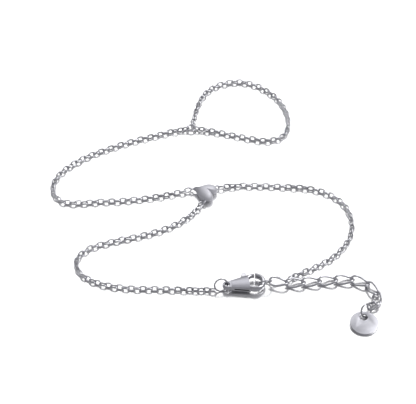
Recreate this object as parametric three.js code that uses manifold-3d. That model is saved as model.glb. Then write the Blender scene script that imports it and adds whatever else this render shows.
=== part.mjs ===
// Hand chain in steel: a finger loop and a wrist bracelet joined by a chain over the hand,
// with a puffed heart, a lobster clasp and a curb extender that ends in a round tag.
// Millimetres, +Z up, the whole piece lying on z = 0.
import * as THREE from 'three';
import { mergeVertices } from 'three/addons/utils/BufferGeometryUtils.js';
import Module from 'manifold-3d';

const wasm = await Module();
wasm.setup();

// ---- Driving dimensions -------------------------------------------------------------------

// Middle of the laid-out piece in the coordinates of the tables below: the group is moved so that
// the origin stands under the middle of its box.
const MIDDLE = [0.42, -1.34];

const LINK = {               // one oval link of the fine cable chain
  pitch: 1.2,
  halfLength: 0.72,          // wire centre to the middle, along the chain
  halfWidth: 0.52,
  wire: 0.16,                // wire radius
  around: 10,
  sides: 5,
};
const CHAIN = {              // the fine chain as a plain round bar of the same outside
  radius: 0.5,
  z: 0.55,                   // height of its middle, resting on the ground
  sides: 8,
  step: 3.7,                 // length of one straight piece
};
const CURB = {               // one twisted link of the extender
  halfLength: 1.97,
  halfWidth: 0.98,
  rise: 0.38,                // how far the twist lifts and lowers the long sides
  wire: 0.23,
  around: 16,
  sides: 6,
};
const RING = { around: 20, sides: 6 };

const HEART = {
  centre: [-0.37, -0.87],    // where the axis crosses the middle of the outline
  turn: -21.7,               // degrees, from +X to the line from the tip to the notch
  along: 0.178,              // outline scale along that line
  across: 0.157,
  rim: 0.8,                  // height of the widest outline
  top: 1.45,                 // how far the front swells above the rim
  bottom: 0.72,
  summit: -0.1,              // along the axis, where the front is highest
  around: 36,
  rows: 6,
};
const HEART_LOOP = { radius: 0.4, wire: 0.16, out: 0.34, around: 12, sides: 6 };

// The clasp is drawn in its own plane: +x from the middle of the eye to the end of the claw.
const CLASP = {
  eye: [4.05, -28.63],       // middle of the eye on the ground
  turn: 9,                   // degrees, from +X to the clasp's own +x
  lift: 0.46,                // underside above the ground: the rings pass under it
  height: 1.3,
  bevel: 0.3,
  eyeRadius: 1.0,
  eyeHole: 0.6,
  eyeHeight: 0.9,
  eyeBevel: 0.12,
  flank: 0.82,               // radius that the body's straight flanks run to at the eye
  neck: 0.95,                // the body is as thin as the eye up to here
  claw: 5.7,                 // middle of the round claw
  clawRadius: 2.3,
  mouthRadius: 1.35,
  mouthRise: 0.05,           // the mouth is a little off the middle, so the claw thins to its tip
  cheek: 4.55,               // straight edge where the body ends and the mouth starts
};
const LEVER = {
  pivot: [2.9, 0.9],
  heel: 0.66,
  bore: 0.3,
  pin: 0.21,
  cap: 0.2,                  // cover over each end of the pin
  slot: 0.72,                // height of the slot in the body
  leaf: 0.54,                // thickness of the lever inside the slot
  gate: 1.0,                 // thickness of its closing end
  root: 0.85,                // the gate's lower edge beside the cheek
  reach: 3.12,               // from the pivot to the closing end
  play: 0.12,                // space between the gate and what it closes on
};
const BEYOND = 9;            // past every edge of the clasp
const LEVER_SLOT = [[2.05, 0.1], [4.85, 0.1], [4.85, BEYOND], [2.5, BEYOND], [2.05, 2.1]];
const LEVER_ARM = [[2.7, 1.25], [3.1, 0.5], [4.3, 1.05], [5.2, 1.5], [5.05, 2.05], [3.6, 1.95]];
const THUMB_TAB = [[3.05, 1.4], [4.25, 1.5], [4.35, 2.5], [4.05, 2.8], [3.6, 2.76], [3.25, 2.3]];

const TAG = { centre: [31.2, -38.17], radius: 2.83, thick: 0.4, bevel: 0.08, tilt: 5.4 };
const TAG_HOLE = { radius: 0.78, inset: 1.47 };

const steel = (color, roughness) => {
  return new THREE.MeshStandardMaterial({ color, roughness, metalness: 1 });
};
const FINISH = {
  fine: steel(0xb4b5bb, 0.25),
  polished: steel(0xc6c7cc, 0.14),
  satin: steel(0xb7b8c0, 0.38),
  brushed: steel(0xd2d2da, 0.42),
};

// ---- Solids ---------------------------------------------------------------------------------

const radians = THREE.MathUtils.degToRad;

const toSolid = (geometry) => {
  const bare = geometry.clone();
  for (const name of ['normal', 'uv']) bare.deleteAttribute(name);
  const merged = mergeVertices(bare, 1e-4);
  return new wasm.Manifold(new wasm.Mesh({
    numProp: 3,
    vertProperties: new Float32Array(merged.attributes.position.array),
    triVerts: new Uint32Array(merged.index.array),
  }));
};

const toGeometry = (solid) => {
  const mesh = solid.getMesh();
  const geometry = new THREE.BufferGeometry();
  const places = new Float32Array(mesh.numVert * 3);
  for (let i = 0; i < mesh.numVert; i += 1) {
    for (let k = 0; k < 3; k += 1) places[3 * i + k] = mesh.vertProperties[i * mesh.numProp + k];
  }
  geometry.setAttribute('position', new THREE.BufferAttribute(places, 3));
  geometry.setIndex(new THREE.BufferAttribute(new Uint32Array(mesh.triVerts), 1));
  geometry.computeVertexNormals();
  return geometry;
};

const join = (geometries) => toGeometry(wasm.Manifold.union(geometries.map(toSolid)));

const moved = (geometry, matrix) => geometry.clone().applyMatrix4(matrix);

const slab = (shape, low, high, bevel = 0) => {
  const geometry = new THREE.ExtrudeGeometry(shape, {
    depth: high - low - 2 * bevel,
    bevelEnabled: bevel > 0,
    bevelThickness: bevel,
    bevelSize: bevel,
    bevelOffset: -bevel,
    bevelSegments: 2,
    curveSegments: 14,
  });
  return geometry.translate(0, 0, low + bevel);
};

// A closed wire whose middle line is an oval, lifted and lowered on opposite corners by the twist.
class Oval extends THREE.Curve {
  constructor(halfLength, halfWidth, rise = 0, start = 0) {
    super();
    Object.assign(this, { halfLength, halfWidth, rise, start });
  }

  getPoint(t, target = new THREE.Vector3()) {
    const turn = 2 * Math.PI * t + this.start;
    return target.set(
      this.halfLength * Math.cos(turn),
      this.halfWidth * Math.sin(turn),
      -this.rise * Math.sin(2 * turn),
    );
  }
}

// A fine link has the middle of a flat stretch at each end, where the next link bears on it.
const fineLink = () => {
  const half = Math.PI / LINK.around;
  const oval = new Oval(LINK.halfLength / Math.cos(half), LINK.halfWidth, 0, half);
  return new THREE.TubeGeometry(oval, LINK.around, LINK.wire, LINK.sides, true);
};

// A frame whose x runs along `heading`, rolled about it by `roll` degrees from lying flat.
const frameAt = (centre, heading, roll) => {
  const x = new THREE.Vector3(...heading).normalize();
  const y = new THREE.Vector3(0, 0, 1).cross(x).normalize();
  const z = x.clone().cross(y);
  const angle = radians(roll);
  const side = y.clone().multiplyScalar(Math.cos(angle)).addScaledVector(z, Math.sin(angle));
  const up = x.clone().cross(side);
  return new THREE.Matrix4().makeBasis(x, side, up).setPosition(...centre);
};

const node = (name, geometry, material) => {
  const mesh = new THREE.Mesh(geometry, material);
  mesh.name = name;
  return mesh;
};

// ---- The fine chains --------------------------------------------------------------------------

// Each route runs from the middle of the first link to the middle of the last.
// The third number, where it is given, is the height of the chain's middle there.
const ROUTES = {
  finger: [
    [-3.5, 22.1, 0.68], [-3.06, 24.86, 0.62], [-2.41, 28.37], [-1.38, 31.7], [0.37, 34.77], [3.38, 37.03],
    [7.26, 37.83], [11.15, 36.78], [14.09, 34.53], [16.4, 31.7], [17.85, 28.4], [18.6, 25.02],
    [18.55, 21.57], [17.12, 18.19], [13.59, 16.78], [9.64, 17.53], [5.69, 18.69], [1.75, 19.84, 0.62],
    [-2.48, 20.68, 0.68],
  ],
  hand: [
    [-5.02, 20.6, 0.62], [-7.89, 19.95], [-11.64, 18.6], [-15.5, 17.2], [-19.17, 15.62], [-22.85, 13.79],
    [-26.25, 11.79], [-29.38, 9.36], [-32.02, 6.59], [-33.7, 3.3], [-33.79, -0.27], [-31.56, -3.25],
    [-27.67, -3.77], [-23.45, -3.25], [-19.24, -3.0], [-15.13, -2.48], [-10.92, -1.63], [-6.92, -0.61],
    [-4.28, 0.02, 0.75],
  ],
  left: [
    [-1.42, -4.38, 0.7], [-3.33, -7.11], [-6.06, -9.69], [-9.39, -11.77], [-13.14, -13.33],
    [-16.99, -14.54], [-20.95, -15.76], [-24.72, -17.42], [-27.1, -20.39], [-26.6, -23.95],
    [-23.77, -26.65], [-20.02, -28.07], [-15.84, -28.69], [-11.66, -28.86], [-7.47, -28.95],
    [-3.29, -29.13], [1.12, -29.35, 0.6],
  ],
  right: [
    [3.08, 1.2, 0.7], [6.96, 1.77], [11.05, 1.77], [15.15, 1.6], [19.24, 1.35], [23.24, 0.67],
    [26.77, -1.12], [29.4, -3.9], [30.65, -7.37], [30.85, -10.9], [30.05, -14.37], [28.22, -17.59],
    [25.74, -20.39], [22.53, -22.68], [19.11, -24.7], [17.2, -26.0, 0.8],
  ],
};

const routeCurve = (points) => {
  const places = points.map(([x, y, z = CHAIN.z]) => new THREE.Vector3(x, y, z));
  return new THREE.CatmullRomCurve3(places, false, 'centripetal');
};

// Real links along the route, each a quarter turn from the one before, fused where they touch.
// The links lean half way over, and turn to `endRoll` over the last few at each end.
const linkedChain = (points, endRoll) => {
  const curve = routeCurve(points);
  curve.arcLengthDivisions = 400;
  const count = 2 * Math.round(curve.getLength() / LINK.pitch / 2);
  const lean = 45;
  const turning = 4;
  const link = fineLink();
  const links = [];
  for (let i = 0; i <= count; i += 1) {
    const centre = curve.getPointAt(i / count);
    const heading = curve.getTangentAt(i / count);
    const toEnd = Math.min(i, count - i);
    const settle = (endRoll - lean) * Math.max(0, 1 - toEnd / turning);
    const roll = lean + settle + 90 * (i % 2);
    links.push(moved(link, frameAt(centre.toArray(), heading.toArray(), roll)));
  }
  return join(links);
};

// The same chain as a bar, for the stretches whose links are too many to cut one by one.
const barChain = (points) => {
  const curve = routeCurve(points);
  const section = new THREE.Shape();
  const corner = CHAIN.radius / Math.cos(Math.PI / CHAIN.sides);
  for (let i = 0; i < CHAIN.sides; i += 1) {
    const angle = (2 * Math.PI * (i + 0.5)) / CHAIN.sides;
    const place = [corner * Math.cos(angle), corner * Math.sin(angle)];
    if (i === 0) section.moveTo(...place);
    else section.lineTo(...place);
  }
  const steps = Math.round(curve.getLength() / CHAIN.step);
  return new THREE.ExtrudeGeometry(section, { steps, extrudePath: curve, bevelEnabled: false });
};

// ---- Rings and the extender ---------------------------------------------------------------------

// A round ring whose plane holds `heading` (degrees from +X) and leans by `lean` from lying flat.
const ring = ({ x, y, z, heading, lean, radius, wire }) => {
  const along = [Math.cos(radians(heading)), Math.sin(radians(heading)), 0];
  const torus = new THREE.TorusGeometry(radius, wire, RING.sides, RING.around);
  return moved(torus, frameAt([x, y, z], along, lean));
};

const RINGS = [
  { name: 'junction_ring', x: -3.75, y: 20.84, z: 0.66, heading: 16, lean: 4, radius: 0.98, wire: 0.18 },
  { name: 'clasp_ring', x: 2.77, y: -28.77, z: 1.45, heading: 13.4, lean: 71.4, radius: 1.34, wire: 0.17 },
  { name: 'hook_ring', x: 11.83, y: -27.75, z: 1.28, heading: 11.5, lean: -55.9, radius: 1.36, wire: 0.16 },
  { name: 'tag_ring', x: 31.75, y: -35.61, z: 1.36, heading: 40.2, lean: 64, radius: 1.32, wire: 0.18 },
];

// In degrees: heading is the way a link points, roll lifts its left side, seen that way, and dip
// lowers its front end.
const EXTENDER = [
  { x: 14.63, y: -27.53, z: 1.05, heading: -2.3, roll: 3.9, dip: 7.2, scale: 1 },
  { x: 17.99, y: -27.53, z: 0.78, heading: 3.4, roll: 11.9, dip: 0.5, scale: 1 },
  { x: 21.33, y: -27.2, z: 0.74, heading: 5.5, roll: 8.9, dip: 0.7, scale: 1 },
  { x: 24.68, y: -26.85, z: 0.71, heading: 6.1, roll: 8.3, dip: 0.2, scale: 1 },
  { x: 28.04, y: -26.6, z: 0.7, heading: 1.7, roll: 8.7, dip: 1.4, scale: 1 },
  { x: 31.27, y: -27.14, z: 0.66, heading: -21.8, roll: 7.1, dip: 4.6, scale: 1 },
  { x: 33.59, y: -29.13, z: 0.65, heading: -58.4, roll: 4.6, dip: 0.9, scale: 0.94 },
  { x: 34.28, y: -31.8, z: 0.69, heading: -93.7, roll: 0, dip: 3, scale: 0.84 },
  { x: 33.29, y: -33.72, z: 0.82, heading: -143.1, roll: -3, dip: -4.1, scale: 0.7 },
];

const curbLink = ({ x, y, z, heading, roll, dip, scale }) => {
  const oval = new Oval(CURB.halfLength * scale, CURB.halfWidth * scale, CURB.rise);
  return new THREE.TubeGeometry(oval, CURB.around, CURB.wire, CURB.sides, true)
    .rotateX(radians(roll))
    .rotateY(radians(dip))
    .rotateZ(radians(heading))
    .translate(x, y, z);
};

// ---- The heart ------------------------------------------------------------------------------------

// Heart outline: the tip is on the -x side of the frame and the notch on the +x side.
const heartOutline = (t) => {
  const along = 13 * Math.cos(t) - 5 * Math.cos(2 * t) - 2 * Math.cos(3 * t) - Math.cos(4 * t);
  const across = 16 * Math.sin(t) ** 3;
  return [along * HEART.along, across * HEART.across];
};

// Rows of the outline shrink towards the summit while they rise over the front or sink under the
// back, as the lines of latitude of a ball do.
const puffedHeart = () => {
  const places = [];
  const faces = [];
  const levels = [];
  for (let row = 1 - HEART.rows; row <= HEART.rows - 1; row += 1) {
    const lift = (row / HEART.rows) * (Math.PI / 2);
    const height = lift > 0 ? HEART.top : HEART.bottom;
    levels.push({ shrink: Math.cos(lift), rise: height * Math.sin(lift) });
  }
  for (const { shrink, rise } of levels) {
    for (let i = 0; i < HEART.around; i += 1) {
      const [x, y] = heartOutline((2 * Math.PI * (i + 0.5)) / HEART.around);
      places.push(HEART.summit + (x - HEART.summit) * shrink, y * shrink, rise);
    }
  }
  const at = (row, i) => row * HEART.around + ((i + HEART.around) % HEART.around);
  for (let row = 0; row < levels.length - 1; row += 1) {
    for (let i = 0; i < HEART.around; i += 1) {
      faces.push(at(row, i), at(row, i + 1), at(row + 1, i));
      faces.push(at(row, i + 1), at(row + 1, i + 1), at(row + 1, i));
    }
  }
  const low = places.length / 3;
  places.push(HEART.summit, 0, -HEART.bottom, HEART.summit, 0, HEART.top);
  for (let i = 0; i < HEART.around; i += 1) {
    faces.push(low, at(0, i + 1), at(0, i));
    faces.push(low + 1, at(levels.length - 1, i), at(levels.length - 1, i + 1));
  }
  const geometry = new THREE.BufferGeometry();
  geometry.setAttribute('position', new THREE.Float32BufferAttribute(places, 3));
  geometry.setIndex(faces);
  return geometry;
};

// Soldered loops: one at the tip and one on the outer side of each lobe. `around` is the place on
// the outline, from the notch, and `heading` is the way the loop points, both in degrees.
const HEART_LOOPS = [
  { around: 180, heading: 185, z: 0, lean: 45 },
  { around: 76, heading: 53, z: -0.1, lean: 45 },
  { around: -90, heading: -88, z: -0.1, lean: 45 },
];

const heart = () => {
  const { radius, wire, out, sides } = HEART_LOOP;
  const loops = HEART_LOOPS.map(({ around, heading, z, lean }) => {
    const along = [Math.cos(radians(heading)), Math.sin(radians(heading)), 0];
    const [x, y] = heartOutline(radians(around));
    const torus = new THREE.TorusGeometry(radius, wire, sides, HEART_LOOP.around);
    return moved(torus, frameAt([x + out * along[0], y + out * along[1], z], along, lean));
  });
  const solid = join([puffedHeart(), ...loops]);
  return solid.rotateZ(radians(HEART.turn)).translate(...HEART.centre, HEART.rim);
};

// ---- The lobster clasp ------------------------------------------------------------------------------

const disc = (x, y, radius) => new THREE.Shape().absarc(x, y, radius, 0, 2 * Math.PI, false);

const polygon = (points) => new THREE.Shape(points.map(([x, y]) => new THREE.Vector2(x, y)));

// Eye and claw under one outline, with the mouth cut out beside the cheek.
const claspOutline = () => {
  const { flank, claw, clawRadius, mouthRadius, mouthRise, cheek } = CLASP;
  const start = Math.PI / 2 + Math.asin((clawRadius - flank) / claw);
  const outline = new THREE.Shape();
  outline.absarc(0, 0, flank, start, 2 * Math.PI - start, false);
  outline.absarc(claw, 0, clawRadius, -start, start, false);
  outline.closePath();
  const mouth = new THREE.Path();
  const open = Math.acos((cheek - claw) / mouthRadius);
  mouth.absarc(claw, mouthRise, mouthRadius, open, -open, true);
  mouth.closePath();
  outline.holes.push(mouth);
  return outline;
};

const placedClasp = (geometry) => {
  return geometry.rotateZ(radians(CLASP.turn)).translate(CLASP.eye[0], CLASP.eye[1], CLASP.lift);
};

const claspBody = () => {
  const { height, eyeHeight, eyeBevel, neck, claw, clawRadius, cheek, bevel } = CLASP;
  const { pivot: [px, py], reach, play, root, slot, pin, cap } = LEVER;
  const low = (height - eyeHeight) / 2;
  const middle = height / 2;
  const far = claw + clawRadius;
  const through = (shape) => toSolid(slab(shape, -1, height + 1));
  let solid = toSolid(slab(claspOutline(), 0, height, bevel));
  const thinned = polygon([[-BEYOND, -BEYOND], [neck, -BEYOND], [neck, BEYOND], [-BEYOND, BEYOND]]);
  solid = solid.subtract(toSolid(slab(thinned, -1, low)));
  solid = solid.subtract(toSolid(slab(thinned, low + eyeHeight, height + 1)));
  solid = solid.add(toSolid(slab(disc(0, 0, CLASP.eyeRadius), low, low + eyeHeight, eyeBevel)));
  solid = solid.subtract(through(disc(0, 0, CLASP.eyeHole)));
  // The way of the gate: what lies above its root and within its sweep, from the cheek outwards.
  const sweep = new THREE.Shape();
  sweep.moveTo(cheek, far);
  sweep.lineTo(cheek, root - 0.3);
  sweep.absarc(px, py, reach + play, radians(-6), radians(55), false);
  sweep.closePath();
  const above = polygon([[cheek, root], [far, root], [far, BEYOND], [cheek, BEYOND]]);
  solid = solid.subtract(through(sweep).intersect(through(above)));
  // The slot that the lever's leaf turns in, with the pin left standing across it.
  solid = solid.subtract(toSolid(slab(polygon(LEVER_SLOT), middle - slot / 2, middle + slot / 2)));
  solid = solid.add(toSolid(slab(disc(px, py, pin), cap, height - cap)));
  return placedClasp(toGeometry(solid));
};

// The lever: a leaf with a heel round the pin, a thumb tab outside and the gate across the mouth.
const claspLever = () => {
  const { height, claw, clawRadius, mouthRadius, mouthRise, cheek } = CLASP;
  const { pivot: [px, py], heel, bore, leaf, gate, reach, play, root } = LEVER;
  const middle = height / 2;
  const leafSlab = (shape) => toSolid(slab(shape, middle - leaf / 2, middle + leaf / 2));
  const gateSlab = (shape) => toSolid(slab(shape, middle - gate / 2, middle + gate / 2));
  const band = disc(claw, 0, clawRadius - play / 2);
  band.holes.push(new THREE.Path().absarc(claw, mouthRise, mouthRadius + play, 0, 2 * Math.PI, true));
  const near = cheek + play;
  const front = polygon([[near, root], [BEYOND, root], [BEYOND, BEYOND], [near, BEYOND]]);
  let solid = gateSlab(band).intersect(gateSlab(disc(px, py, reach))).intersect(gateSlab(front));
  for (const shape of [disc(px, py, heel), polygon(LEVER_ARM), polygon(THUMB_TAB)]) {
    solid = solid.add(leafSlab(shape));
  }
  solid = solid.subtract(toSolid(slab(disc(px, py, bore), -1, height + 1)));
  return placedClasp(toGeometry(solid));
};

// ---- The tag --------------------------------------------------------------------------------------

const tag = () => {
  const shape = disc(0, 0, TAG.radius);
  const holeY = TAG.radius - TAG_HOLE.inset;
  shape.holes.push(new THREE.Path().absarc(0, holeY, TAG_HOLE.radius, 0, 2 * Math.PI, true));
  const tilt = radians(TAG.tilt);
  const lowEdge = TAG.radius * Math.sin(tilt);
  return slab(shape, 0, TAG.thick, TAG.bevel)
    .rotateX(tilt)
    .translate(TAG.centre[0], TAG.centre[1], lowEdge);
};

// ---- The whole piece --------------------------------------------------------------------------------

const group = new THREE.Group();
group.position.set(-MIDDLE[0], -MIDDLE[1], 0);
group.add(node('finger_chain', linkedChain(ROUTES.finger, 90), FINISH.fine));
group.add(node('hand_chain', barChain(ROUTES.hand), FINISH.fine));
group.add(node('wrist_chain_left', barChain(ROUTES.left), FINISH.fine));
group.add(node('wrist_chain_right', barChain(ROUTES.right), FINISH.fine));
for (const row of RINGS) {
  group.add(node(row.name, ring(row), FINISH.polished));
}
EXTENDER.forEach((row, i) => {
  group.add(node(`extender_link_${i + 1}`, curbLink(row), FINISH.polished));
});
group.add(node('heart', heart(), FINISH.satin));
group.add(node('clasp_body', claspBody(), FINISH.polished));
group.add(node('clasp_lever', claspLever(), FINISH.polished));
group.add(node('tag', tag(), FINISH.brushed));

export default group;
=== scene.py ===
"""Hand chain in steel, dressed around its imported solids.

Fine cable chains, jump rings, a puffed heart, a lobster clasp, a twisted curb extender and a round
tag lie on a glossy pale table. Everything is in metres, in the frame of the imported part.
"""

import logging
import math
import random
from dataclasses import dataclass, field
from enum import Enum

import bmesh
import bpy
from bmesh.types import BMEdge, BMesh, BMVert
from mathutils import Matrix, Vector


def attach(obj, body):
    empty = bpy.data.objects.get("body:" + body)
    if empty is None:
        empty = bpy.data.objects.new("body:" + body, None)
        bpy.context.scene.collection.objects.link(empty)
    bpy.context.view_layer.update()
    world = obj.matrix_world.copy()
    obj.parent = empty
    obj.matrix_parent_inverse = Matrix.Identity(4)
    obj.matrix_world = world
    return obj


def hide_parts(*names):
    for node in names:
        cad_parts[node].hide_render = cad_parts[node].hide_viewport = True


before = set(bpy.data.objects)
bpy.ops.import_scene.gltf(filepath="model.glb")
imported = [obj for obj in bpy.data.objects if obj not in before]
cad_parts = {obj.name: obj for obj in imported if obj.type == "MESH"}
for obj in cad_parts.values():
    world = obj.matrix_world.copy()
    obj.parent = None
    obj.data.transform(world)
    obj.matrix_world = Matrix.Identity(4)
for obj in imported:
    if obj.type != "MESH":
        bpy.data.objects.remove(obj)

MM = 0.001
MIDDLE = Vector((0.42, -1.34))
MERGE = 1e-7
CARVED_MERGE = 2e-7
UP = Vector((0, 0, 1))
log = logging.getLogger("hand_chain")


def place(x: float, y: float, z: float) -> Vector:
    """Turn a point of the layout tables, in millimetres, into the frame of the part.

    Args:
        x: Distance to the right.
        y: Distance away from the viewer.
        z: Height above the table.

    Returns:
        The same point in metres.
    """
    return Vector((x - MIDDLE.x, y - MIDDLE.y, z)) * MM


def basis(centre: Vector, heading: Vector, roll: float) -> Matrix:
    """Make a frame whose x runs along a heading.

    Args:
        centre: Where the frame stands, in metres.
        heading: The way its x points.
        roll: Turn about x from lying flat, in radians.

    Returns:
        The matrix from that frame to the part's.
    """
    x = heading.normalized()
    y = UP.cross(x).normalized()
    z = x.cross(y)
    side = y * math.cos(roll) + z * math.sin(roll)
    up = x.cross(side)
    turned = Matrix((x, side, up)).transposed().to_4x4()
    return Matrix.Translation(centre) @ turned


def flat_heading(degrees: float) -> Vector:
    """Give the level direction at an angle from the part's x, in degrees."""
    angle = math.radians(degrees)
    return Vector((math.cos(angle), math.sin(angle), 0))


# ---- Finishes ----


class Grain(Enum):
    """How the surface of the steel was worked."""

    DRAWN = "drawn"
    POLISHED = "polished"
    SATIN = "satin"
    BRUSHED = "brushed"


CLOUD_SCALE = 420.0
CLOUD_SHADE = 0.9
MARK_SCALE = 6000.0
MARK_DEPTH = 0.01 * MM
SMOOTHEST = 0.02


@dataclass(frozen=True)
class Steel:
    """A steel finish: its colour, its gloss and the marks left in it.

    Attributes:
        name: Name of the material.
        tone: Colour that the metal gives its reflections.
        roughness: Middle of its roughness.
        grain: How it was worked.
        spread: How far the roughness varies over the surface.
        relief: Strength of the fine marks.
    """

    name: str
    tone: tuple[float, float, float]
    roughness: float
    grain: Grain
    spread: float = 0.06
    relief: float = 0.1

    def build(self) -> bpy.types.Material:
        """Make the node material.

        Returns:
            The material, ready to be put on a piece.
        """
        material = bpy.data.materials.new(self.name)
        material.use_nodes = True
        nodes, links = material.node_tree.nodes, material.node_tree.links
        shader = nodes["Principled BSDF"]
        shader.inputs["Metallic"].default_value = 1.0
        shader.inputs["Roughness"].default_value = self.roughness
        place_in = nodes.new("ShaderNodeTexCoord").outputs["Object"]
        mapping = nodes.new("ShaderNodeMapping")
        links.new(place_in, mapping.inputs["Vector"])
        mapping.inputs["Scale"].default_value = self.stretch()

        clouds = nodes.new("ShaderNodeTexNoise")
        clouds.inputs["Scale"].default_value = CLOUD_SCALE
        clouds.inputs["Detail"].default_value = 3.0
        links.new(place_in, clouds.inputs["Vector"])
        colour = nodes.new("ShaderNodeMix")
        colour.data_type = "RGBA"
        links.new(clouds.outputs["Fac"], colour.inputs["Factor"])
        colour.inputs["A"].default_value = (*(CLOUD_SHADE * c for c in self.tone), 1)
        colour.inputs["B"].default_value = (*self.tone, 1)
        links.new(colour.outputs["Result"], shader.inputs["Base Color"])

        marks = nodes.new("ShaderNodeTexNoise")
        marks.inputs["Scale"].default_value = MARK_SCALE
        marks.inputs["Detail"].default_value = 4.0
        marks.inputs["Roughness"].default_value = 0.6
        links.new(mapping.outputs["Vector"], marks.inputs["Vector"])
        gloss = nodes.new("ShaderNodeMapRange")
        gloss.inputs["From Min"].default_value = 0.3
        gloss.inputs["From Max"].default_value = 0.7
        gloss.inputs["To Min"].default_value = max(SMOOTHEST, self.roughness - self.spread)
        gloss.inputs["To Max"].default_value = self.roughness + self.spread
        links.new(marks.outputs["Fac"], gloss.inputs["Value"])
        links.new(gloss.outputs["Result"], shader.inputs["Roughness"])
        bump = nodes.new("ShaderNodeBump")
        bump.inputs["Strength"].default_value = self.relief
        bump.inputs["Distance"].default_value = MARK_DEPTH
        links.new(marks.outputs["Fac"], bump.inputs["Height"])
        links.new(bump.outputs["Normal"], shader.inputs["Normal"])
        return material

    def stretch(self) -> tuple[float, float, float]:
        """Give the scale of the marks along each axis: brushed marks are long in x."""
        return (0.08, 1.0, 1.0) if self.grain is Grain.BRUSHED else (1.0, 1.0, 1.0)


FINE = Steel("fine_chain_steel", (0.63, 0.63, 0.66), 0.2, Grain.DRAWN)
RING_WIRE = Steel("ring_wire_steel", (0.56, 0.56, 0.59), 0.16, Grain.POLISHED)
EXTENDER_WIRE = Steel("extender_wire_steel", (0.6, 0.6, 0.63), 0.16, Grain.POLISHED)
HEART_SATIN = Steel("heart_satin_steel", (0.71, 0.71, 0.75), 0.64, Grain.SATIN, 0.08, 0.25)
CLASP_POLISH = Steel("clasp_polished_steel", (0.58, 0.58, 0.61), 0.14, Grain.POLISHED)
CLASP_SATIN = Steel("clasp_satin_steel", (0.48, 0.48, 0.52), 0.38, Grain.SATIN, 0.08, 0.2)
# Near-black steel for the walls of the clasp's slot and groove: painted shade, not a darker metal.
CLASP_PAINTED_SHADE = Steel("clasp_recess_painted_shade", (0.1, 0.1, 0.11), 0.5, Grain.SATIN, 0.08, 0.2)
TAG_BRUSHED = Steel("tag_brushed_steel", (0.55, 0.55, 0.59), 0.4, Grain.BRUSHED, 0.08, 0.3)


# ---- Mesh helpers ----


def finish_mesh(bm: BMesh) -> None:
    """Merge doubled points of a mesh and turn every face outwards."""
    bmesh.ops.remove_doubles(bm, verts=bm.verts, dist=MERGE)
    bmesh.ops.recalc_face_normals(bm, faces=bm.faces)


def piece(
    name: str,
    bm: BMesh,
    finishes: list[Steel],
    body: str,
    nodes: list[str],
    smooth: float = 40.0,
) -> bpy.types.Object:
    """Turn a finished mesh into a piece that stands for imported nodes.

    Args:
        name: Name of the piece.
        bm: Its mesh, which is used up.
        finishes: The steels on it, in the order of their face indices.
        body: The body that it moves with.
        nodes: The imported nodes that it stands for.
        smooth: Edges that turn less than this many degrees are shaded smooth.

    Returns:
        The new object.
    """
    mesh = bpy.data.meshes.new(name)
    bm.to_mesh(mesh)
    bm.free()
    for finish in finishes:
        mesh.materials.append(MATERIALS[finish.name])
    mesh.shade_smooth()
    mesh.set_sharp_from_angle(angle=math.radians(smooth))
    obj = bpy.data.objects.new(name, mesh)
    bpy.context.scene.collection.objects.link(obj)
    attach(obj, body)
    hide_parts(*nodes)
    log.info("%s: %d faces", name, len(mesh.polygons))
    return obj


def grow(bm: BMesh, at: Vector) -> BMVert:
    """Add one starting point to a mesh and give it back."""
    return bmesh.ops.create_vert(bm, co=at)["vert"][0]


def new_parts(geometry: list, kind: type) -> list:
    """Pick the parts of one kind, such as edges, out of what an operator returned."""
    return [part for part in geometry if isinstance(part, kind)]


def swept_arc(bm: BMesh, start: BMVert, centre: Vector, degrees: float, steps: int) -> BMVert:
    """Draw an arc of edges about the z axis from a point.

    Args:
        bm: The mesh being made.
        start: The point that the arc starts at.
        centre: The middle of the arc.
        degrees: How far it turns, anticlockwise from above.
        steps: Edges in it.

    Returns:
        The last point.
    """
    spun = bmesh.ops.spin(
        bm,
        geom=[start],
        cent=centre,
        axis=(0, 0, 1),
        angle=math.radians(degrees),
        steps=steps,
        use_merge=False,
    )
    return new_parts(spun["geom_last"], BMVert)[0]


def raise_outline(bm: BMesh, low: float, high: float, rim: float) -> None:
    """Fill a closed outline, raise it to a slab and round its upper and lower rims.

    Args:
        bm: A mesh that holds the outline's edges alone.
        low: Height of the underside.
        high: Height of the top.
        rim: Radius of the rounded rims, or 0.
    """
    rim_steps, level = 3, 1e-9
    bmesh.ops.remove_doubles(bm, verts=bm.verts, dist=MERGE)
    bmesh.ops.contextual_create(bm, geom=bm.edges)
    bmesh.ops.translate(bm, verts=bm.verts, vec=(0, 0, low))
    raised = bmesh.ops.extrude_face_region(bm, geom=bm.faces[:])
    top = new_parts(raised["geom"], BMVert)
    bmesh.ops.translate(bm, verts=top, vec=(0, 0, high - low))
    bmesh.ops.recalc_face_normals(bm, faces=bm.faces)
    if rim > 0:
        rims = [e for e in bm.edges if abs(e.verts[0].co.z - e.verts[1].co.z) < level]
        bmesh.ops.bevel(
            bm,
            geom=rims,
            offset=rim,
            offset_type="OFFSET",
            affect="EDGES",
            segments=rim_steps,
            profile=0.5,
            material=-1,
            clamp_overlap=True,
        )


def draw_in(
    bm: BMesh,
    edges: list[BMEdge],
    levels: list[tuple[float, float]],
    along: float = 0.0,
    both_ways: bool = True,
) -> list[BMEdge]:
    """Draw rows of faces from an outline, each narrower than the last and on its own level.

    Args:
        bm: The mesh being made.
        edges: The outline's edges.
        levels: Width against the outline's own, and height over it, of each row.
        along: Where on the x axis the rows shrink to.
        both_ways: Whether they shrink along x too, and not only across it.

    Returns:
        The edges of the last row.
    """
    shrunk, risen = 1.0, 0.0
    for shrink, rise in levels:
        grown = bmesh.ops.extrude_edge_only(bm, edges=edges)["geom"]
        verts = new_parts(grown, BMVert)
        edges = new_parts(grown, BMEdge)
        across = shrink / shrunk
        bmesh.ops.scale(
            bm,
            vec=(across if both_ways else 1, across, 1),
            space=Matrix.Translation((-along, 0, 0)),
            verts=verts,
        )
        bmesh.ops.translate(bm, verts=verts, vec=(0, 0, rise - risen))
        shrunk, risen = shrink, rise
    return edges


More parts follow.
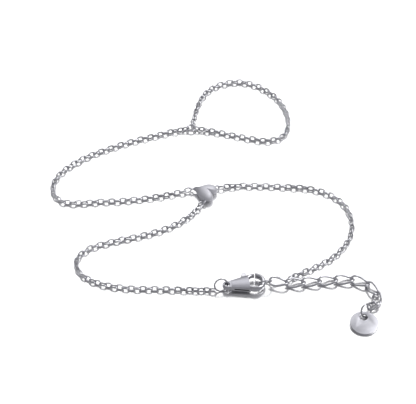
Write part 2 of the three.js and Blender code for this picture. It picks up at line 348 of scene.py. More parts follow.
def dome_outline(bm: BMesh, low: float, high: float, dome: float, chamfer: float) -> None:
    """Raise a closed outline to a body with a flat underside and a front domed across its own x.

    Args:
        bm: A mesh that holds the outline's edges alone, even on both sides of its x.
        low: Height where the side wall starts, above the chamfer of the underside.
        high: Height where the side wall ends.
        dome: How far the front swells above the side wall.
        chamfer: Height of the underside's chamfer.
    """
    rows, spine, wall = 8, 1e-6, high - low
    bevelled = (0.97, 0.6), (0.9, 1.0)
    bmesh.ops.remove_doubles(bm, verts=bm.verts, dist=MERGE)
    bmesh.ops.translate(bm, verts=bm.verts, vec=(0, 0, low))
    outline = bm.edges[:]
    lifts = [math.pi / 2 * row / rows for row in range(1, rows + 1)]
    front = [(math.cos(lift), wall + dome * math.sin(lift)) for lift in lifts]
    back = [(width, -depth * chamfer) for width, depth in bevelled]
    draw_in(bm, outline, [(1.0, wall), *front], both_ways=False)
    underside = draw_in(bm, outline, back, both_ways=False)
    bmesh.ops.contextual_create(bm, geom=underside)
    bmesh.ops.remove_doubles(bm, verts=bm.verts, dist=spine)
    bmesh.ops.recalc_face_normals(bm, faces=bm.faces)


def slab(points: list[tuple[float, float]], low: float, high: float, rim: float = 0.0) -> BMesh:
    """Make a slab on a polygon.

    Args:
        points: Its corners, in millimetres.
        low: Height of the underside, in millimetres.
        high: Height of the top, in millimetres.
        rim: Radius of its rounded rims, in millimetres.

    Returns:
        The mesh, in metres.
    """
    bm = bmesh.new()
    verts = [grow(bm, Vector((x, y, 0)) * MM) for x, y in points]
    for one, other in zip(verts, verts[1:] + verts[:1]):
        bm.edges.new((one, other))
    raise_outline(bm, low * MM, high * MM, rim * MM)
    return bm


def drum(
    x: float, y: float, radius: float, low: float, high: float, rim: float = 0.0, around: int = 40
) -> BMesh:
    """Make an upright drum, in metres, from sizes in millimetres.

    Args:
        x: Place of its axis along x.
        y: Place of its axis along y.
        radius: Its radius.
        low: Height of its underside.
        high: Height of its top.
        rim: Radius of its rounded rims.
        around: Sides.

    Returns:
        The mesh.
    """
    bm = bmesh.new()
    start = grow(bm, Vector((x + radius, y, 0)) * MM)
    swept_arc(bm, start, Vector((x, y, 0)) * MM, 360, around)
    raise_outline(bm, low * MM, high * MM, rim * MM)
    return bm


class Cut(Enum):
    """What a boolean step does with its tool."""

    JOIN = "UNION"
    TAKE_AWAY = "DIFFERENCE"


def carve(body: BMesh, steps: list[tuple[Cut, BMesh]]) -> BMesh:
    """Join tools to a body and cut others from it, in order.

    Args:
        body: The mesh to start with, which is used up.
        steps: What to do and the tool to do it with, each used up.

    Returns:
        The carved mesh.
    """
    scratch = []

    def as_object(bm: BMesh) -> bpy.types.Object:
        """Put a mesh in a scratch object."""
        mesh = bpy.data.meshes.new("scratch")
        bmesh.ops.recalc_face_normals(bm, faces=bm.faces)
        bm.to_mesh(mesh)
        bm.free()
        obj = bpy.data.objects.new("scratch", mesh)
        bpy.context.scene.collection.objects.link(obj)
        scratch.append(obj)
        return obj

    base = as_object(body)
    for cut, tool in steps:
        modifier = base.modifiers.new("cut", "BOOLEAN")
        modifier.operation = cut.value
        modifier.solver = "EXACT"
        modifier.object = as_object(tool)
    shaped = base.evaluated_get(bpy.context.evaluated_depsgraph_get())
    made = bmesh.new()
    made.from_mesh(shaped.to_mesh())
    shaped.to_mesh_clear()
    for obj in scratch:
        mesh = obj.data
        bpy.data.objects.remove(obj)
        bpy.data.meshes.remove(mesh)
    bmesh.ops.remove_doubles(made, verts=made.verts, dist=CARVED_MERGE)
    bmesh.ops.dissolve_degenerate(made, edges=made.edges, dist=MERGE)
    bmesh.ops.recalc_face_normals(made, faces=made.faces)
    return made


@dataclass(frozen=True)
class Loop:
    """The middle line of a closed wire: an oval whose long sides are lifted by a twist.

    Attributes:
        half_length: From the middle to an end, in metres.
        half_width: From the middle to a side.
        squareness: 1 for an ellipse, less for fuller corners.
        rise: How far the twist lifts one side and lowers the other.
    """

    half_length: float
    half_width: float
    squareness: float = 1.0
    rise: float = 0.0

    def point(self, turn: float) -> Vector:
        """Give the place on the loop at an angle, in radians."""
        c, s = math.cos(turn), math.sin(turn)
        return Vector(
            (
                self.half_length * math.copysign(abs(c) ** self.squareness, c),
                self.half_width * math.copysign(abs(s) ** self.squareness, s),
                -self.rise * math.sin(2 * turn),
            )
        )


def wire_loop(bm: BMesh, loop: Loop, wire: float, around: int, sides: int, matrix: Matrix) -> None:
    """Add a closed wire: a ring spun from its section and drawn out along a loop.

    Args:
        bm: The mesh being made.
        loop: The middle line.
        wire: Radius of the wire, in metres.
        around: Steps round the loop.
        sides: Points round the wire.
        matrix: Puts the loop in place.
    """
    own = bmesh.new()
    upright = Matrix.Translation((1, 0, 0)) @ Matrix.Rotation(math.pi / 2, 4, "X")
    bmesh.ops.create_circle(own, cap_ends=False, segments=sides, radius=wire, matrix=upright)
    bmesh.ops.spin(
        own,
        geom=own.edges[:] + own.verts[:],
        cent=(0, 0, 0),
        axis=(0, 0, 1),
        angle=2 * math.pi,
        steps=around,
        use_merge=True,
    )
    nudge = 1e-3
    for vert in own.verts:
        turn = math.atan2(vert.co.y, vert.co.x)
        out = math.hypot(vert.co.x, vert.co.y) - 1
        ahead = (loop.point(turn + nudge) - loop.point(turn - nudge)).normalized()
        outward = ahead.cross(UP).normalized()
        vert.co = loop.point(turn) + outward * out + outward.cross(ahead) * vert.co.z
    bmesh.ops.transform(own, matrix=matrix, verts=own.verts)
    finish_mesh(own)
    mesh = bpy.data.meshes.new("wire")
    own.to_mesh(mesh)
    own.free()
    bm.from_mesh(mesh)
    bpy.data.meshes.remove(mesh)


# ---- Fine chains ----


@dataclass(frozen=True)
class Route:
    """The way that a chain lies, through the middles of its links.

    Attributes:
        points: Layout points in millimetres, with a height where it isn't the resting one.
        rest: Height of the middle of a resting chain.
    """

    points: tuple[tuple[float, ...], ...]
    rest: float = 0.4

    def knots(self) -> list[Vector]:
        """Give the points in metres, with one more beyond each end."""
        inner = [place(x, y, *(z or (self.rest,))) for x, y, *z in self.points]
        before = 2 * inner[0] - inner[1]
        after = 2 * inner[-1] - inner[-2]
        return [before, *inner, after]

    def samples(self, per_span: int = 24) -> list[Vector]:
        """Follow the smooth curve through the points.

        Args:
            per_span: Steps between two points.

        Returns:
            Closely spaced places along it.
        """
        knots = self.knots()
        places = [knots[1]]
        for p0, p1, p2, p3 in zip(knots, knots[1:], knots[2:], knots[3:]):
            d0, d1, d2 = (math.sqrt((b - a).length) for a, b in ((p0, p1), (p1, p2), (p2, p3)))
            leave = ((p1 - p0) / d0 - (p2 - p0) / (d0 + d1) + (p2 - p1) / d1) * d1
            arrive = ((p2 - p1) / d1 - (p3 - p1) / (d1 + d2) + (p3 - p2) / d2) * d1
            for i in range(1, per_span + 1):
                t = i / per_span
                places.append(
                    (2 * t**3 - 3 * t**2 + 1) * p1
                    + (t**3 - 2 * t**2 + t) * leave
                    + (3 * t**2 - 2 * t**3) * p2
                    + (t**3 - t**2) * arrive
                )
        return places

    def stations(self, pitch: float) -> list[tuple[Vector, Vector]]:
        """Place links an even pitch apart, an odd number of them.

        Args:
            pitch: Wanted distance between their middles, in metres.

        Returns:
            The middle and heading of each link.
        """
        places = self.samples()
        along = [0.0]
        for one, other in zip(places, places[1:]):
            along.append(along[-1] + (other - one).length)
        count = 2 * round(along[-1] / pitch / 2)
        found, span = [], 0
        for i in range(count + 1):
            goal = along[-1] * i / count
            while span < len(along) - 2 and along[span + 1] < goal:
                span += 1
            share = (goal - along[span]) / (along[span + 1] - along[span])
            heading = (places[span + 1] - places[span]).normalized()
            found.append((places[span].lerp(places[span + 1], share), heading))
        return found


@dataclass
class FineChain:
    """One strand of oval cable links, each about a quarter turn from the one before.

    Attributes:
        node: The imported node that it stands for.
        route: The way that it lies.
        start_across: Normal of the ring that holds its first link.
        end_across: Normal of the ring that holds its last link.
        seed: Seed of the small unevenness of its lie.
        pitch: Distance between the middles of two links, in metres.
        half_width: From a link's middle to its side, to the middle of the wire.
        wire: Radius of the wire.
        around: Steps round a link.
        sides: Points round the wire.
        lean: Turn of the first link about the strand, in radians.
        slump: How far a link tips over towards lying flat.
        turning: Links over which the strand turns to suit the ring at its end.
        drift: How far the strand turns about itself on its way.
        waves: Links in each of the two waves of that drift.
        jitter: How far a single link leans by chance, in degrees.
        swing: How far its heading strays by chance.
        share: How much of its height a link owes to itself; the two beside it give the rest.
    """

    node: str
    route: Route
    start_across: Vector
    end_across: Vector
    seed: int
    pitch: float
    half_width: float = 0.47 * MM
    wire: float = 0.165 * MM
    around: int = 12
    sides: int = 6
    lean: float = math.radians(45)
    slump: float = math.radians(13)
    turning: int = 5
    drift: float = math.radians(14)
    waves: tuple[int, int] = (29, 11)
    jitter: float = 7
    swing: float = 0.04
    share: float = 0.4

    def roll_for(self, heading: Vector, across: Vector) -> float:
        """Give the roll that stands a link square on the ring that holds it.

        Args:
            heading: The way that the link points.
            across: The normal of the ring.

        Returns:
            The roll in radians.
        """
        side = UP.cross(heading).normalized()
        up = heading.cross(side)
        return math.atan2(across.dot(up), across.dot(side))

    def rolls(self, stations: list[tuple[Vector, Vector]], uneven: random.Random) -> list[float]:
        """Turn each link about the strand: square on the rings, leaning to and fro between them.

        Args:
            stations: Middle and heading of each link.
            uneven: Source of the small unevenness.

        Returns:
            The roll of each link from lying flat, in radians.
        """
        last = len(stations) - 1
        half, full = math.pi, 2 * math.pi
        long, short = self.waves
        at_start = self.roll_for(stations[0][1], self.start_across) - self.lean
        at_end = self.roll_for(stations[-1][1], self.end_across) - self.lean - last * half / 2
        at_start = (at_start + half / 2) % half - half / 2
        at_end = (at_end + half / 2) % half - half / 2
        found = []
        for i in range(last + 1):
            inside = min(1.0, i / self.turning, (last - i) / self.turning)
            wander = math.sin(full * i / long + self.seed)
            wander += 0.6 * math.sin(full * i / short + 2 * self.seed)
            chance = math.radians(uneven.uniform(-self.jitter, self.jitter))
            turn = self.lean + i * half / 2 + inside * (self.drift * wander + chance)
            turn += at_start * max(0.0, 1 - i / self.turning)
            turn += at_end * max(0.0, 1 - (last - i) / self.turning)
            found.append(turn - inside * self.slump * math.sin(2 * turn))
        return found

    def build(self) -> bpy.types.Object:
        """Make the strand as one piece, each link resting on the table or held up by the next."""
        stations = self.route.stations(self.pitch)
        last = len(stations) - 1
        uneven = random.Random(self.seed)
        rolls = self.rolls(stations, uneven)
        resting = [abs(math.sin(roll)) * self.half_width + self.wire for roll in rolls]
        gap = (stations[1][0] - stations[0][0]).length
        loop = Loop(gap / 2 + self.wire, self.half_width, 0.9)
        bm = bmesh.new()
        for i, (centre, heading) in enumerate(stations):
            beside = resting[max(0, i - 1)] + resting[min(last, i + 1)]
            held = self.share * resting[i] + (1 - self.share) / 2 * beside
            ramp = min(i, last - i) / self.turning
            centre = centre.copy()
            if ramp < 1:
                held = max(held, held * ramp + centre.z * (1 - ramp))
            centre.z = max(resting[i], held)
            if 0 < i < last:
                stray = (uneven.uniform(-self.swing, self.swing) for _ in range(2))
                heading = heading + Vector((*stray, 0))
            at = basis(centre, heading, rolls[i])
            wire_loop(bm, loop, self.wire, self.around, self.sides, at)
        return piece(f"{self.node}_links", bm, [FINE], "chain", [self.node], 60)


# ---- Rings and the extender ----


@dataclass
class JumpRing:
    """A round ring of wire, parted by a hairline where it was closed.

    Attributes:
        node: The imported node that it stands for.
        centre: Its middle, in layout millimetres.
        heading: Direction from +x that its plane holds, in degrees.
        lean: How far its plane stands up from lying flat, in degrees.
        radius: Radius of its middle line, in millimetres.
        wire: Radius of its wire, in millimetres.
        parting: Where the cut is, in degrees round the ring.
        around: Steps round the ring.
        sides: Points round the wire.
        gap: Width of the cut, in millimetres.
    """

    node: str
    centre: tuple[float, float, float]
    heading: float
    lean: float
    radius: float
    wire: float
    parting: float = 200
    around: int = 56
    sides: int = 14
    gap: float = 0.035

    def matrix(self) -> Matrix:
        """Give the ring's frame."""
        return basis(place(*self.centre), flat_heading(self.heading), math.radians(self.lean))

    def across(self) -> Vector:
        """Give the normal of the ring's plane."""
        return self.matrix().to_3x3() @ UP

    def build(self) -> bpy.types.Object:
        """Spin the wire's section round almost a full turn and close its two ends."""
        bm = bmesh.new()
        cut, wire = self.gap / self.radius, self.wire * MM
        upright = Matrix.Rotation(math.pi / 2, 4, "X")
        at = Matrix.Translation((self.radius * MM, 0, 0)) @ upright
        bmesh.ops.create_circle(bm, cap_ends=True, segments=self.sides, radius=wire, matrix=at)
        bmesh.ops.spin(
            bm,
            geom=bm.faces[:],
            cent=(0, 0, 0),
            axis=(0, 0, 1),
            angle=2 * math.pi - cut,
            steps=self.around,
            use_merge=False,
        )
        turn = Matrix.Rotation(math.radians(self.parting), 4, "Z")
        bmesh.ops.transform(bm, matrix=self.matrix() @ turn, verts=bm.verts)
        finish_mesh(bm)
        return piece(f"{self.node}_wire", bm, [RING_WIRE], "chain", [self.node], 50)


@dataclass(frozen=True)
class LinkPlace:
    """Where one extender link lies, in layout millimetres and degrees.

    Attributes:
        x: Place of its middle along x.
        y: Place of its middle along y.
        z: Height of its middle.
        heading: Direction of its length from +x.
        roll: How far its left side is up.
        dip: How far its front end is down.
        scale: Its size against a full link.
    """

    x: float
    y: float
    z: float
    heading: float
    roll: float
    dip: float
    scale: float


@dataclass
class CurbExtender:
    """The row of twisted links that the claw can close on. Sizes are in millimetres."""

    places: tuple[LinkPlace, ...]
    half_length: float = 1.97
    half_width: float = 0.98
    rise: float = 0.38
    wire: float = 0.23
    around: int = 48
    sides: int = 12

    def build(self) -> None:
        """Make each link as a piece of its own."""
        for number, at in enumerate(self.places, start=1):
            scale = at.scale * MM
            loop = Loop(self.half_length * scale, self.half_width * scale, rise=self.rise * MM)
            turn = Matrix.Rotation(math.radians(at.heading), 4, "Z")
            dip = Matrix.Rotation(math.radians(at.dip), 4, "Y")
            roll = Matrix.Rotation(math.radians(at.roll), 4, "X")
            matrix = Matrix.Translation(place(at.x, at.y, at.z)) @ turn @ dip @ roll
            bm = bmesh.new()
            wire_loop(bm, loop, self.wire * MM, self.around, self.sides, matrix)
            node = f"extender_link_{number}"
            piece(f"{node}_wire", bm, [EXTENDER_WIRE], "chain", [node], 60)


# ---- The heart ----


@dataclass(frozen=True)
class HeartLoop:
    """A soldered loop: its place on the outline and the way it points, in degrees."""

    around: float
    heading: float
    z: float


@dataclass
class PuffedHeart:
    """The solid heart with its three soldered loops. Sizes are in millimetres and degrees."""

    centre: tuple[float, float] = (-0.37, -0.87)
    turn: float = -21.7
    along: float = 0.178
    across: float = 0.157
    rim: float = 0.8
    top: float = 1.45
    bottom: float = 0.72
    summit: float = -0.1
    points: int = 96
    rows: int = 12
    loop_radius: float = 0.4
    loop_wire: float = 0.16
    loop_out: float = 0.34
    loop_lean: float = 45
    loops: tuple[HeartLoop, ...] = (
        HeartLoop(180, 185, 0),
        HeartLoop(76, 53, -0.1),
        HeartLoop(-90, -88, -0.1),
    )

    def outline(self, turn: float) -> Vector:
        """Give the outline's place at an angle from the notch, in radians."""
        waves = enumerate((13, -5, -2, -1), start=1)
        lengthwise = sum(height * math.cos(number * turn) for number, height in waves)
        return Vector((lengthwise * self.along, 16 * math.sin(turn) ** 3 * self.across, 0))

    def matrix(self) -> Matrix:
        """Give the heart's frame, from its own millimetres."""
        turned = Matrix.Rotation(math.radians(self.turn), 4, "Z")
        return Matrix.Translation(place(*self.centre, self.rim)) @ turned @ Matrix.Scale(MM, 4)

    def loop_frame(self, loop: HeartLoop) -> Matrix:
        """Give the frame of a loop in the heart's own millimetres."""
        heading = flat_heading(loop.heading)
        out = heading * self.loop_out + UP * loop.z
        at = self.outline(math.radians(loop.around)) + out
        return basis(at, heading, math.radians(self.loop_lean))

    def loop_across(self, index: int) -> Vector:
        """Give the normal of a loop's plane in the part's frame."""
        return (self.matrix() @ self.loop_frame(self.loops[index])).to_3x3().normalized() @ UP

    def shell(self, bm: BMesh, height: float) -> None:
        """Raise one half of the heart row by row from the outline to its summit.

        Args:
            bm: The mesh being made, in the heart's own millimetres.
            height: How far it swells, upwards or downwards.
        """
        made = bmesh.ops.create_circle(bm, cap_ends=False, segments=self.points, radius=1)
        circle = made["verts"]
        for i, vert in enumerate(circle):
            vert.co = self.outline(2 * math.pi * (i + 0.5) / self.points)
        edges = list(dict.fromkeys(edge for vert in circle for edge in vert.link_edges))
        lifts = [math.pi / 2 * row / self.rows for row in range(1, self.rows)]
        levels = [(math.cos(lift), height * math.sin(lift)) for lift in lifts]
        highest = draw_in(bm, edges, levels, self.summit)
        grown = bmesh.ops.extrude_edge_only(bm, edges=highest)["geom"]
        bmesh.ops.pointmerge(
            bm, verts=new_parts(grown, BMVert), merge_co=Vector((self.summit, 0, height))
        )

    def build(self) -> bpy.types.Object:
        """Make the heart and its loops as one soldered piece."""
        seam, around, sides = 1e-4, 32, 12
        body = bmesh.new()
        self.shell(body, self.top)
        self.shell(body, -self.bottom)
        bmesh.ops.remove_doubles(body, verts=body.verts, dist=seam)
        steps = []
        for loop in self.loops:
            ring = bmesh.new()
            oval = Loop(self.loop_radius, self.loop_radius)
            wire_loop(ring, oval, self.loop_wire, around, sides, self.loop_frame(loop))
            steps.append((Cut.JOIN, ring))
        solid = carve(body, steps)
        bmesh.ops.transform(solid, matrix=self.matrix(), verts=solid.verts)
        return piece("heart_body", solid, [HEART_SATIN], "chain", ["heart"], 50)


# ---- The lobster clasp ----


@dataclass
class LobsterClasp:
    """The clasp body and its sprung lever, drawn in millimetres in their own plane.

    The clasp's own x runs from the middle of the eye to the end of the claw.
    """

    eye: tuple[float, float] = (4.05, -28.63)
    turn: float = 9
    lift: float = 0.46
    height: float = 1.3
    dome: float = 0.47
    back_rim: float = 0.2
    groove: tuple[tuple[float, float], ...] = ((1.3, -0.95), (4.2, -1.6), (4.2, -4), (1.3, -4))
    groove_below: float = 0.21
    groove_above: float = 0.11
    eye_radius: float = 1.0
    eye_hole: float = 0.6
    eye_height: float = 0.9
    eye_rim: float = 0.3
    flank: float = 0.82
    neck: float = 0.95
    claw: float = 5.7
    claw_radius: float = 2.3
    mouth_radius: float = 1.35
    cheek: float = 4.55
    claw_root: float = -128
    claw_tip: float = 79
    fullness: float = -0.12
    pivot: tuple[float, float] = (2.9, 0.9)
    slot: float = 0.72
    leaf: float = 0.54
    gate: float = 1.0
    gate_from: float = 84
    gate_to: float = 146
    gate_inner: float = 1.47
    gate_outer: float = 2.24
    pin: float = 0.21
    heel: float = 0.66
    bore: float = 0.3
    cap: float = 0.2
    beyond: float = 9
    slot_corners: tuple[tuple[float, float], ...] = (
        (2.05, 0.1), (4.85, 0.1), (4.85, 9), (2.5, 9), (2.05, 2.1)
    )
    arm: tuple[tuple[float, float], ...] = (
        (2.7, 1.25), (3.1, 0.5), (4.3, 1.05), (5.2, 1.5), (5.05, 2.05), (3.6, 1.95)
    )
    tab: tuple[tuple[float, float], ...] = (
        (3.05, 1.4), (4.25, 1.5), (4.35, 2.5), (4.05, 2.8), (3.6, 2.76), (3.25, 2.3)
    )

    def matrix(self) -> Matrix:
        """Give the clasp's frame, from its own plane in metres."""
        turned = Matrix.Rotation(math.radians(self.turn), 4, "Z")
        return Matrix.Translation(place(*self.eye, self.lift)) @ turned

    def claw_arc(
        self, start: float, end: float, inner: float, outer: float, height: float
    ) -> BMesh:
        """Spin a rounded bar about the middle of the claw.

        Args:
            start: Angle that it starts at, in degrees.
            end: Angle that it ends at.
            inner: Inner radius, in millimetres.
            outer: Outer radius.
            height: Height of the bar.

        Returns:
            The mesh.
        """
        sides, degrees_a_step, tiny = 20, 6, 1e-6
        bm = bmesh.new()
        middle, half, tall = (inner + outer) / 2 * MM, (outer - inner) / 2 * MM, height / 2 * MM
        upright = Matrix.Diagonal((half, 1, tall, 1)) @ Matrix.Rotation(math.pi / 2, 4, "X")
        at = Matrix.Translation((middle, 0, 0))
        bmesh.ops.create_circle(bm, cap_ends=True, segments=sides, radius=1, matrix=at @ upright)
        for vert in bm.verts:
            across, up = (vert.co.x - middle) / half, vert.co.z / tall
            fuller = max(abs(across), abs(up)) ** self.fullness
            vert.co.x = middle + across * min(fuller, 1 / max(abs(across), tiny)) * half
            vert.co.z = up * min(fuller, 1 / max(abs(up), tiny)) * tall
        turned = Matrix.Rotation(math.radians(start), 3, "Z")
        bmesh.ops.rotate(bm, verts=bm.verts, cent=(0, 0, 0), matrix=turned)
        bmesh.ops.spin(
            bm,
            geom=bm.faces[:],
            cent=(0, 0, 0),
            axis=(0, 0, 1),
            angle=math.radians(end - start),
            steps=round((end - start) / degrees_a_step),
            use_merge=False,
        )
        finish_mesh(bm)
        bmesh.ops.translate(bm, verts=bm.verts, vec=Vector((self.claw, 0, self.height / 2)) * MM)
        return bm

    def cheeks(self) -> BMesh:
        """Raise the drop-shaped body between the eye and the mouth, with a domed front."""
        eye_steps, claw_steps = 14, 40
        slope = math.asin((self.claw_radius - self.flank) / self.claw)
        start = math.pi / 2 + slope
        ahead, aside = math.cos(start), math.sin(start)
        turned = 2 * math.degrees(start)
        eye, claw = Vector((0, 0, 0)), Vector((self.claw, 0, 0)) * MM
        bm = bmesh.new()
        first = grow(bm, Vector((ahead, aside, 0)) * self.flank * MM)
        flank_end = swept_arc(bm, first, eye, 360 - turned, eye_steps)
        low = grow(bm, claw + Vector((ahead, -aside, 0)) * self.claw_radius * MM)
        high = swept_arc(bm, low, claw, turned, claw_steps)
        bm.edges.new((flank_end, low))
        bm.edges.new((high, first))
        rim, dome = self.back_rim * MM, self.dome * MM
        dome_outline(bm, rim, (self.height - self.dome) * MM, dome, rim)
        return bm

    def in_recess(self, at: Vector) -> bool:
        """Tell whether a face's middle, in millimetres, is on a wall of the slot or the groove."""
        slack, wall, slot_end = 0.01, 0.06, 1.1
        level = abs(at.z - self.height / 2)
        (x, y), (end, low) = self.groove[:2]
        depth = y + (low - y) * (at.x - x) / (end - x) - at.y
        beside = x - slack < at.x < end + slack and -slack < depth < wall
        between = self.neck < at.x < self.cheek - 2 * slack and 0 < at.y < slot_end
        grooved = beside and level < self.groove_below
        slotted = between and level < self.slot / 2 + slack
        return grooved or slotted

    def body(self) -> bpy.types.Object:
        """Make the body: rounded cheeks with a slot, a pierced eye and a polished claw."""
        far, low = self.beyond, (self.height - self.eye_height) / 2
        middle = self.height / 2
        px, py = self.pivot
        past_cheek = [(self.cheek, -far), (2 * far, -far), (2 * far, far), (self.cheek, far)]
        before_neck = [(-far, -far), (self.neck, -far), (self.neck, far), (-far, far)]
        over, under = self.height + 1, -1
        slot_levels = middle - self.slot / 2, middle + self.slot / 2
        groove_levels = middle - self.groove_below, middle + self.groove_above
        claw = self.mouth_radius, self.claw_radius, self.height
        solid = carve(
            self.cheeks(),
            [
                (Cut.TAKE_AWAY, slab(past_cheek, under, over)),
                (Cut.TAKE_AWAY, slab(before_neck, under, low)),
                (Cut.TAKE_AWAY, slab(before_neck, low + self.eye_height, over)),
                (Cut.JOIN, drum(0, 0, self.eye_radius, low, low + self.eye_height, self.eye_rim)),
                (Cut.TAKE_AWAY, drum(0, 0, self.eye_hole, under, over)),
                (Cut.TAKE_AWAY, slab(list(self.slot_corners), *slot_levels)),
                (Cut.TAKE_AWAY, slab(list(self.groove), *groove_levels)),
                (Cut.JOIN, drum(px, py, self.pin, self.cap, self.height - self.cap, around=20)),
                (Cut.JOIN, self.claw_arc(self.claw_root, self.claw_tip, *claw)),
            ],
        )
        # Faces on the walls of the slot and the groove get the near-black steel, painted shade
        # where the recesses fall dark.
        satin, painted_shade, lip, front, back = 1, 2, 0.05, 0.7, -0.95
        for face in solid.faces:
            centre = face.calc_center_median() / MM
            if self.in_recess(centre):
                face.material_index = painted_shade
            elif centre.x < self.cheek + lip and not back <= face.normal.z <= front:
                face.material_index = satin
        bmesh.ops.transform(solid, matrix=self.matrix(), verts=solid.verts)
        steels = [CLASP_POLISH, CLASP_SATIN, CLASP_PAINTED_SHADE]
        return piece("clasp_body_shell", solid, steels, "chain", ["clasp_body"])

    def lever(self) -> bpy.types.Object:
        """Make the lever: heel round the pin, arm, thumb tab and the gate over the mouth."""
        px, py = self.pivot
        rim, step = 0.06, 0.01
        low, high = self.height / 2 - self.leaf / 2, self.height / 2 + self.leaf / 2
        section = self.gate_inner, self.gate_outer, self.gate
        solid = carve(
            self.claw_arc(self.gate_from, self.gate_to, *section),
            [
                (Cut.JOIN, drum(px, py, self.heel, low, high, rim)),
                (Cut.JOIN, slab(list(self.arm), low + step, high - step, rim)),
                (Cut.JOIN, slab(list(self.tab), low + 2 * step, high - 2 * step, 2 * rim)),
                (Cut.TAKE_AWAY, drum(px, py, self.bore, -1, self.height + 1, around=24)),
            ],
        )
        bmesh.ops.transform(solid, matrix=self.matrix(), verts=solid.verts)
        steels = [CLASP_POLISH]
        return piece("clasp_lever_shell", solid, steels, "lever", ["clasp_lever"])


# ---- The tag ----


@dataclass
class RoundTag:
    """The plain round tag: brushed faces, polished rim, one hole. Sizes are in millimetres."""

    centre: tuple[float, float] = (31.2, -38.17)
    radius: float = 2.83
    thick: float = 0.4
    tilt: float = 5.4
    rim: float = 0.08
    hole: float = 0.78
    inset: float = 1.47
    hole_rim: float = 0.06

    def build(self) -> bpy.types.Object:
        """Make the tag, tilted with its far side raised."""
        tilt, sharp_turn, near = math.radians(self.tilt), math.radians(60), 1e-6
        hole_y = self.radius - self.inset
        solid = carve(
            drum(0, 0, self.radius, 0, self.thick, self.rim, 96),
            [(Cut.TAKE_AWAY, drum(0, hole_y, self.hole, -1, self.thick + 1))],
        )

        def on_hole(at: Vector) -> bool:
            """Tell whether a point lies on the wall of the hole."""
            return abs(math.hypot(at.x, at.y - hole_y * MM) - self.hole * MM) < near

        sharp = [edge for edge in solid.edges if edge.calc_face_angle(0) > sharp_turn]
        bmesh.ops.bevel(
            solid,
            geom=[edge for edge in sharp if all(on_hole(vert.co) for vert in edge.verts)],
            offset=self.hole_rim * MM,
            affect="EDGES",
            segments=2,
            profile=0.5,
            material=-1,
        )
        brushed, polished, level = 0, 1, 0.99
        for face in solid.faces:
            face.material_index = brushed if abs(face.normal.z) > level else polished
        lowest = self.radius * math.sin(tilt)
        matrix = Matrix.Translation(place(*self.centre, lowest)) @ Matrix.Rotation(tilt, 4, "X")
        bmesh.ops.transform(solid, matrix=matrix, verts=solid.verts)
        steels = [TAG_BRUSHED, RING_WIRE]
        return piece("tag_disc", solid, steels, "chain", ["tag"], 35)


# ---- The table, the light and the camera ----


@dataclass
class Softbox:
    """One soft light that looks at the middle. Sizes are in metres and the power in watts."""

    name: str
    at: tuple[float, float, float]
    wide: float
    high: float
    power: float

    def build(self) -> None:
        """Hang the light."""
        lamp = bpy.data.lights.new(self.name, "AREA")
        lamp.shape = "RECTANGLE"
        lamp.size = self.wide
        lamp.size_y = self.high
        lamp.energy = self.power
        obj = bpy.data.objects.new(self.name, lamp)
        obj.location = self.at
        obj.rotation_euler = (-Vector(self.at)).to_track_quat("-Z", "Y").to_euler()
        bpy.context.scene.collection.objects.link(obj)


@dataclass
class Studio:
    """A glossy pale table under soft light, seen from above and in front."""

    target: tuple[float, float, float] = (-0.00029, -0.00163, 0)
    distance: float = 0.29806
    elevation: float = 44.0
    lens: float = 118.5
    floor_side: float = 1.6
    boxes: list[Softbox] = field(
        default_factory=lambda: [
            Softbox("back", (0, 0.55, 0.53), 1.3, 0.46, 2.5),
            Softbox("over", (0.3, 0.06, 0.42), 0.3, 0.3, 1.1),
        ]
    )

    def floor(self) -> None:
        """Lay the table."""
        bm = bmesh.new()
        bmesh.ops.create_grid(bm, x_segments=2, y_segments=2, size=self.floor_side / 2)
        mesh = bpy.data.meshes.new("table_top")
        bm.to_mesh(mesh)
        bm.free()
        material = bpy.data.materials.new("table_gloss")
        material.use_nodes = True
        shader = material.node_tree.nodes["Principled BSDF"]
        shader.inputs["Base Color"].default_value = (0.95, 0.95, 0.95, 1)
        shader.inputs["Metallic"].default_value = 0.8
        shader.inputs["Roughness"].default_value = 0.24
        mesh.materials.append(material)
        obj = bpy.data.objects.new("table_top", mesh)
        bpy.context.scene.collection.objects.link(obj)

    def camera(self) -> None:
        """Stand the camera in front, looking down at the middle of the piece."""
        data = bpy.data.cameras.new("camera")
        data.lens = self.lens
        data.sensor_width = 36
        data.clip_start, data.clip_end = 0.01, 10
        obj = bpy.data.objects.new("camera", data)
        tilt = math.radians(self.elevation)
        back = Vector((0, -math.cos(tilt), math.sin(tilt)))
        obj.location = Vector(self.target) + back * self.distance
        obj.rotation_euler = (-back).to_track_quat("-Z", "Y").to_euler()
        bpy.context.scene.collection.objects.link(obj)
        bpy.context.scene.camera = obj

    def surroundings(self) -> None:
        """Fill the room with even grey light."""
        world = bpy.data.worlds.new("room")
        world.use_nodes = True
        sky = world.node_tree.nodes["Background"]
        sky.inputs["Color"].default_value = (0.34, 0.34, 0.355, 1)
        sky.inputs["Strength"].default_value = 1.0
        bpy.context.scene.world = world
        bpy.context.scene.view_settings.view_transform = "Standard"

    def build(self) -> None:
        """Set up the table, the lights, the room and the camera."""
        self.floor()
        self.camera()
        self.surroundings()
        for box in self.boxes:
            box.build()


# ---- The whole piece ----

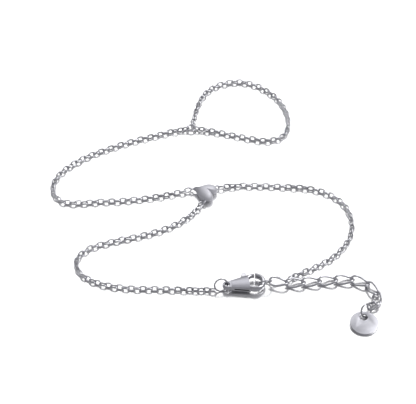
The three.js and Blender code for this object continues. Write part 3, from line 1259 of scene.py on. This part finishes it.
ROUTES = {
    "finger_chain": Route((
        (-3.5, 22.1, 0.68), (-3.06, 24.86, 0.62), (-2.41, 28.37), (-1.38, 31.7), (0.37, 34.77),
        (3.38, 37.03), (7.26, 37.83), (11.15, 36.78), (14.09, 34.53), (16.4, 31.7), (17.85, 28.4),
        (18.6, 25.02), (18.55, 21.57), (17.12, 18.19), (13.59, 16.78), (9.64, 17.53), (5.69, 18.69),
        (1.75, 19.84, 0.62), (-2.48, 20.68, 0.68),
    )),
    "hand_chain": Route((
        (-5.02, 20.6, 0.62), (-7.89, 19.95), (-11.64, 18.6), (-15.5, 17.2), (-19.17, 15.62),
        (-22.85, 13.79), (-26.25, 11.79), (-29.38, 9.36), (-32.02, 6.59), (-33.7, 3.3),
        (-33.79, -0.27), (-31.56, -3.25), (-27.67, -3.77), (-23.45, -3.25), (-19.24, -3.0),
        (-15.13, -2.48), (-10.92, -1.63), (-6.92, -0.61), (-4.28, 0.02, 0.75),
    )),
    "wrist_chain_left": Route((
        (-1.42, -4.38, 0.7), (-3.33, -7.11), (-6.06, -9.69), (-9.39, -11.77), (-13.14, -13.33),
        (-16.99, -14.54), (-20.95, -15.76), (-24.72, -17.42), (-27.1, -20.39), (-26.6, -23.95),
        (-23.77, -26.65), (-20.02, -28.07), (-15.84, -28.69), (-11.66, -28.86), (-7.47, -28.95),
        (-3.29, -29.13), (1.12, -29.35, 0.6),
    )),
    "wrist_chain_right": Route((
        (3.08, 1.2, 0.7), (6.96, 1.77), (11.05, 1.77), (15.15, 1.6), (19.24, 1.35), (23.24, 0.67),
        (26.77, -1.12), (29.4, -3.9), (30.65, -7.37), (30.85, -10.9), (30.05, -14.37),
        (28.22, -17.59), (25.74, -20.39), (22.53, -22.68), (19.11, -24.7), (17.2, -26.0, 0.8),
    )),
}

PITCHES = {
    "finger_chain": 1.2,
    "hand_chain": 1.22,
    "wrist_chain_left": 1.2,
    "wrist_chain_right": 1.22,
}

EXTENDER = CurbExtender((
    LinkPlace(14.63, -27.53, 1.05, -2.3, 3.9, 7.2, 1),
    LinkPlace(17.99, -27.53, 0.78, 3.4, 11.9, 0.5, 1),
    LinkPlace(21.33, -27.2, 0.74, 5.5, 8.9, 0.7, 1),
    LinkPlace(24.68, -26.85, 0.71, 6.1, 8.3, 0.2, 1),
    LinkPlace(28.04, -26.6, 0.7, 1.7, 8.7, 1.4, 1),
    LinkPlace(31.27, -27.14, 0.66, -21.8, 7.1, 4.6, 1),
    LinkPlace(33.59, -29.13, 0.65, -58.4, 4.6, 0.9, 0.94),
    LinkPlace(34.28, -31.8, 0.69, -93.7, 0, 3, 0.84),
    LinkPlace(33.29, -33.72, 0.82, -143.1, -3, -4.1, 0.7),
))

FINISHES = (
    FINE, RING_WIRE, EXTENDER_WIRE, HEART_SATIN,
    CLASP_POLISH, CLASP_SATIN, CLASP_PAINTED_SHADE, TAG_BRUSHED,
)
MATERIALS = {finish.name: finish.build() for finish in FINISHES}


def main() -> None:
    """Build the studio and every sub-assembly in order."""
    logging.basicConfig(level=logging.INFO, format="%(message)s")
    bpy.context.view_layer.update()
    Studio().build()
    heart = PuffedHeart()
    junction = JumpRing("junction_ring", (-3.75, 20.84, 0.66), 16, 4, 0.98, 0.18)
    clasp_ring = JumpRing("clasp_ring", (2.77, -28.77, 1.45), 13.4, 71.4, 1.34, 0.17)
    hook_ring = JumpRing("hook_ring", (11.83, -27.75, 1.28), 11.5, -55.9, 1.36, 0.16)
    tag_ring = JumpRing("tag_ring", (31.75, -35.61, 1.36), 40.2, 64, 1.32, 0.18)
    ends = {
        "finger_chain": (junction.across(), junction.across()),
        "hand_chain": (junction.across(), heart.loop_across(0)),
        "wrist_chain_left": (heart.loop_across(2), clasp_ring.across()),
        "wrist_chain_right": (heart.loop_across(1), UP),
    }
    for seed, (node, route) in enumerate(ROUTES.items(), start=11):
        FineChain(node, route, *ends[node], seed, PITCHES[node] * MM).build()
    for ring in (junction, clasp_ring, hook_ring, tag_ring):
        ring.build()
    EXTENDER.build()
    heart.build()
    clasp = LobsterClasp()
    clasp.body()
    clasp.lever()
    RoundTag().build()


if __name__ == "__main__":
    main()
